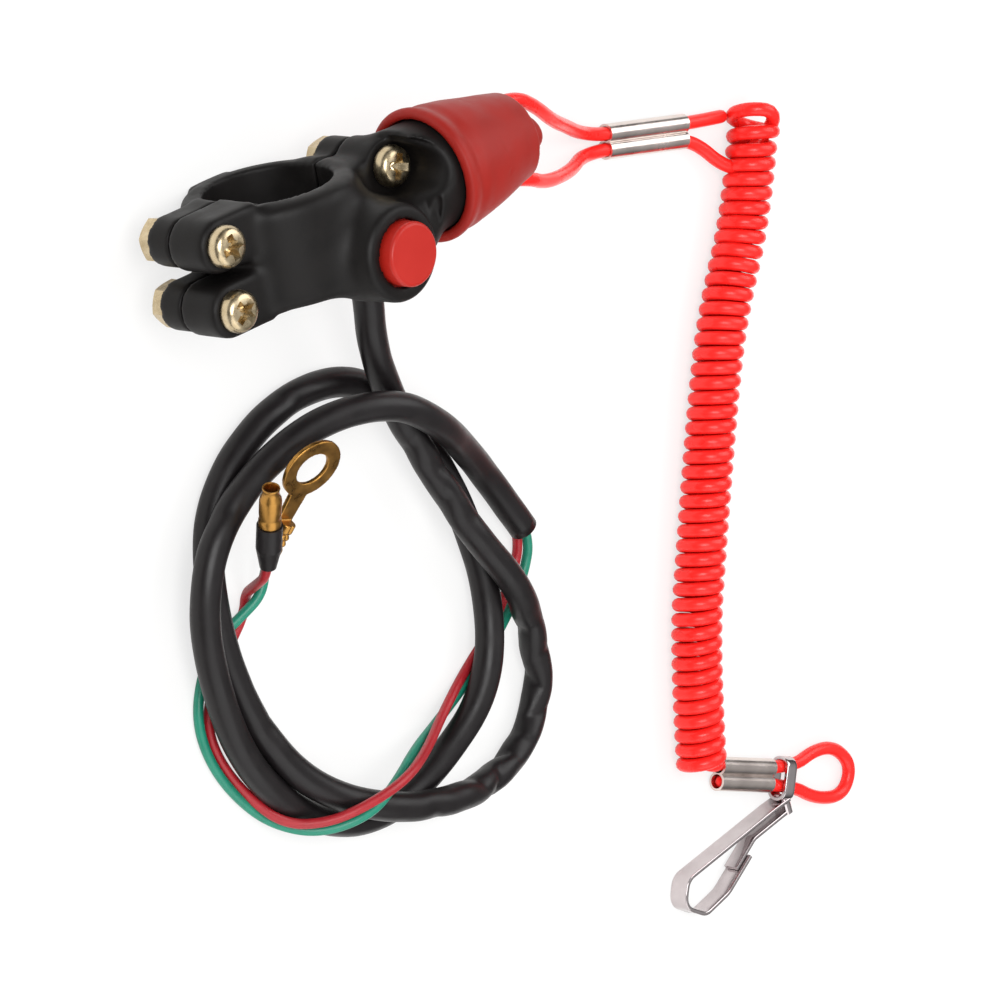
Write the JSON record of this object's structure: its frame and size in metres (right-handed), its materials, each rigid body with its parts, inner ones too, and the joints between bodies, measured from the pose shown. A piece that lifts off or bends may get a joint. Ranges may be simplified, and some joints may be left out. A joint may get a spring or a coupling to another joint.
{
  "type": "handlebar kill switch with tether lanyard",
  "caption": "Handlebar engine stop switch: split clamp with a push button, pull-off tether cap on a coiled lanyard with snap hook, and a sleeved lead with terminals.",
  "frame": {"origin": "middle of the handlebar bore, on its axis", "axes": "+Y along the handlebar, +X along the tether post towards the cap, +Z out through the push button; the part lies on its flat back with its lead and lanyard on the same surface"},
  "size_m": [0.1672, 0.1777, 0.037],
  "materials": {
    "moulded_black": "satin",
    "button_red": "gloss",
    "cap_red": "satin",
    "zinc_yellow": "satin",
    "brass": "satin",
    "sleeve_vinyl": "satin",
    "wire_green": "satin",
    "wire_red": "satin",
    "cord_red": "gloss",
    "ferrule_nickel": "satin",
    "hook_chrome": "polished",
    "spring_steel": "satin",
    "contact_board": "matte",
    "plunger_nylon": "satin"
  },
  "bodies": {
    "switch": {"front_housing": "moulded_black", "rear_clamp": "moulded_black", "clamp_screw_upper": "zinc_yellow", "clamp_screw_lower": "zinc_yellow", "clamp_screw_post": "zinc_yellow", "clamp_nut_upper": "zinc_yellow", "clamp_nut_lower": "zinc_yellow", "clamp_nut_post": "zinc_yellow", "lead_sleeve": "sleeve_vinyl", "wire_green": "wire_green", "wire_red": "wire_red", "bullet_terminal": "brass", "bullet_boot": "sleeve_vinyl", "ring_terminal": "brass", "button_spring": "spring_steel", "contact_base": "contact_board", "plunger_spring": "spring_steel", "plunger_contact": "brass"},
    "button": {"push_button": "button_red", "button_contact": "brass"},
    "plunger": {"tether_plunger": "plunger_nylon"},
    "cap": {"tether_cap": "cap_red", "lanyard_loop": "cord_red", "lanyard_coil": "cord_red", "lanyard_end_loop": "cord_red", "ferrule_upper": "ferrule_nickel", "ferrule_lower": "ferrule_nickel"},
    "hook": {"hook_frame": "hook_chrome"},
    "gate": {"hook_gate": "hook_chrome"}
  },
  "joints": [
    {"name": "button_press", "type": "slide", "parent": "switch", "child": "button", "axis": [0, 0, -1], "range_m": [0, 0.0018], "stiffness_N_per_m": 500, "springref_m": -0.002, "deforming": ["button_spring"]},
    {"name": "cap_pull", "type": "slide", "parent": "switch", "child": "cap", "axis": [1, 0, 0], "range_m": [0, 0.024]},
    {"name": "plunger_out", "type": "slide", "parent": "switch", "child": "plunger", "axis": [1, 0, 0], "range_m": [0, 0.0024]},
    {"name": "hook_swing", "type": "hinge", "parent": "cap", "child": "hook", "pos_m": [0.11238, -0.14666, -0.012], "axis": [0, 0, 1], "range_deg": [-15, 15]},
    {"name": "gate_open", "type": "hinge", "parent": "hook", "child": "gate", "pos_m": [0.11019, -0.15338, -0.0124], "axis": [0, 0, -1], "range_deg": [0, 9], "stiffness_Nm_per_rad": 0.05, "springref_deg": -5.73}
  ],
  "couplings": [
    {"joint": "plunger_out", "follows": "cap_pull", "ratio": 0.1}
  ]
}
